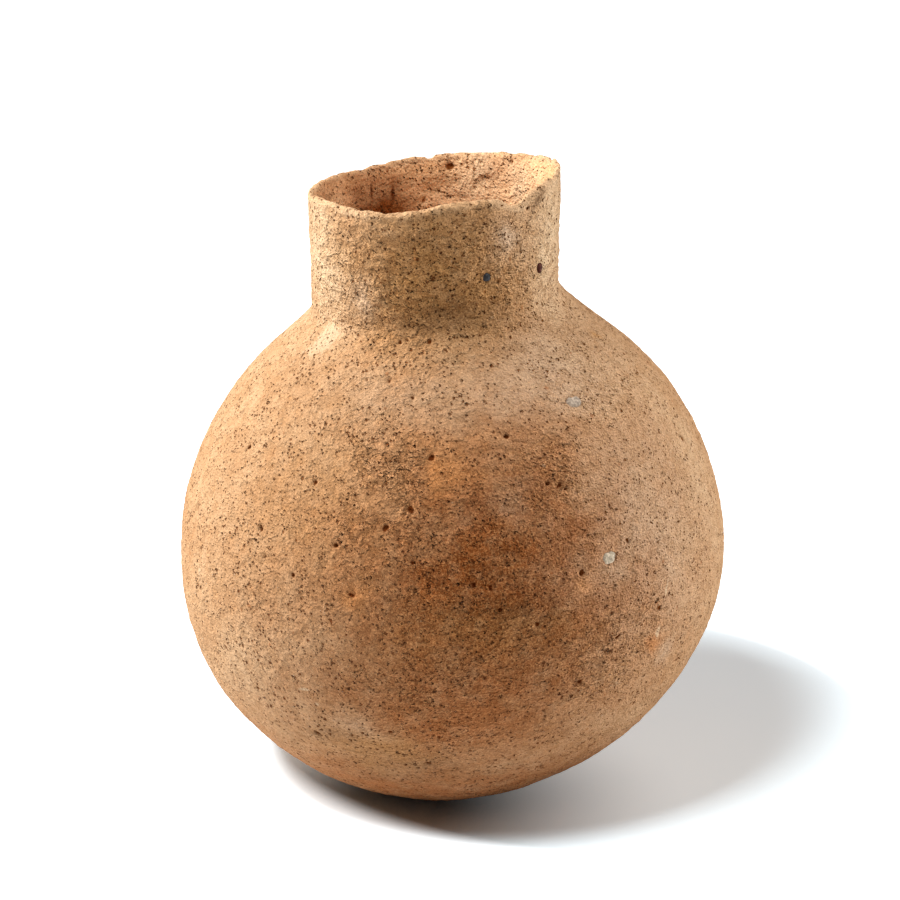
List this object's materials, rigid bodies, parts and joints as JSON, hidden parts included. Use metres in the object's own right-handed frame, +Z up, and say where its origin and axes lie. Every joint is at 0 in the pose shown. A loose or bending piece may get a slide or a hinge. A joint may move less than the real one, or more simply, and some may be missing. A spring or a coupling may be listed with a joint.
{
  "type": "terracotta jar",
  "caption": "Round-bellied hand-built terracotta jar with a short wide neck, made of lapped clay coils on a pinched base, for holding water, grain or flowers.",
  "frame": {"origin": "middle of the flat place under the base that the jar stands on", "axes": "+Z up through the mouth, +X towards the jar's fuller side, -Y towards the pictured front"},
  "size_m": [0.18, 0.1798, 0.2084],
  "materials": {
    "base_clay": "rough unglazed earthenware",
    "red_clay": "rough unglazed earthenware",
    "tan_clay": "rough unglazed earthenware",
    "neck_clay": "rough unglazed earthenware",
    "white_stone": "matt",
    "grey_stone": "matt",
    "red_stone": "matt",
    "blue_stone": "matt"
  },
  "bodies": {
    "root": {"base_bowl": "base_clay", "lower_wall_coil": "red_clay", "lower_belly_coil": "red_clay", "belly_coil": "red_clay", "upper_belly_coil": "tan_clay", "lower_shoulder_coil": "tan_clay", "upper_shoulder_coil": "tan_clay", "neck_collar": "neck_clay", "rim_coil": "neck_clay", "white_pebble": "white_stone", "grey_pebble": "grey_stone", "red_pebble": "red_stone", "blue_pebble": "blue_stone"}
  },
  "joints": []
}
